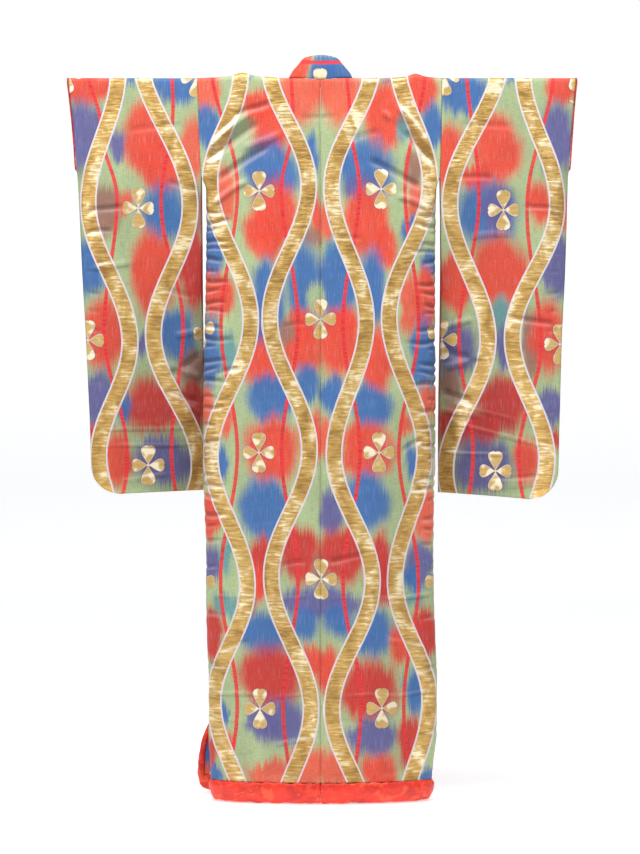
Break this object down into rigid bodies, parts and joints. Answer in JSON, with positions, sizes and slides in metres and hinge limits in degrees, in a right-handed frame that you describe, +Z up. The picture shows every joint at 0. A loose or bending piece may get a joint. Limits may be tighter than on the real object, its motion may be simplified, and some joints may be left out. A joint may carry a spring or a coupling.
{
  "type": "uchikake wedding kimono on a kimono rod",
  "caption": "Full-length padded-hem wedding kimono with long hanging sleeves, hung on a straight rod through its sleeves, wavy gold bands over a clouded ground.",
  "frame": {"origin": "middle of the rod, on its axis", "axes": "+Z up, +X along the rod towards the wearer's right, +Y out of the fronts; the garment's back faces -Y"},
  "size_m": [1.3096, 0.2128, 1.911],
  "materials": {
    "brocade": "silk brocade, clouded red, blue and green ground with gold wavy bands",
    "red_satin": "glossy red satin, softly puckered",
    "lacquered_wood": "dark lacquer"
  },
  "bodies": {
    "root": {"body_left": "brocade", "body_right": "brocade", "okumi_left": "brocade", "okumi_right": "brocade", "collar": "brocade", "sleeve_left": "brocade", "sleeve_right": "brocade", "fuki_left": "red_satin", "fuki_right": "red_satin", "cuff_edge_left": "red_satin", "cuff_edge_right": "red_satin", "rod": "lacquered_wood"}
  },
  "joints": []
}
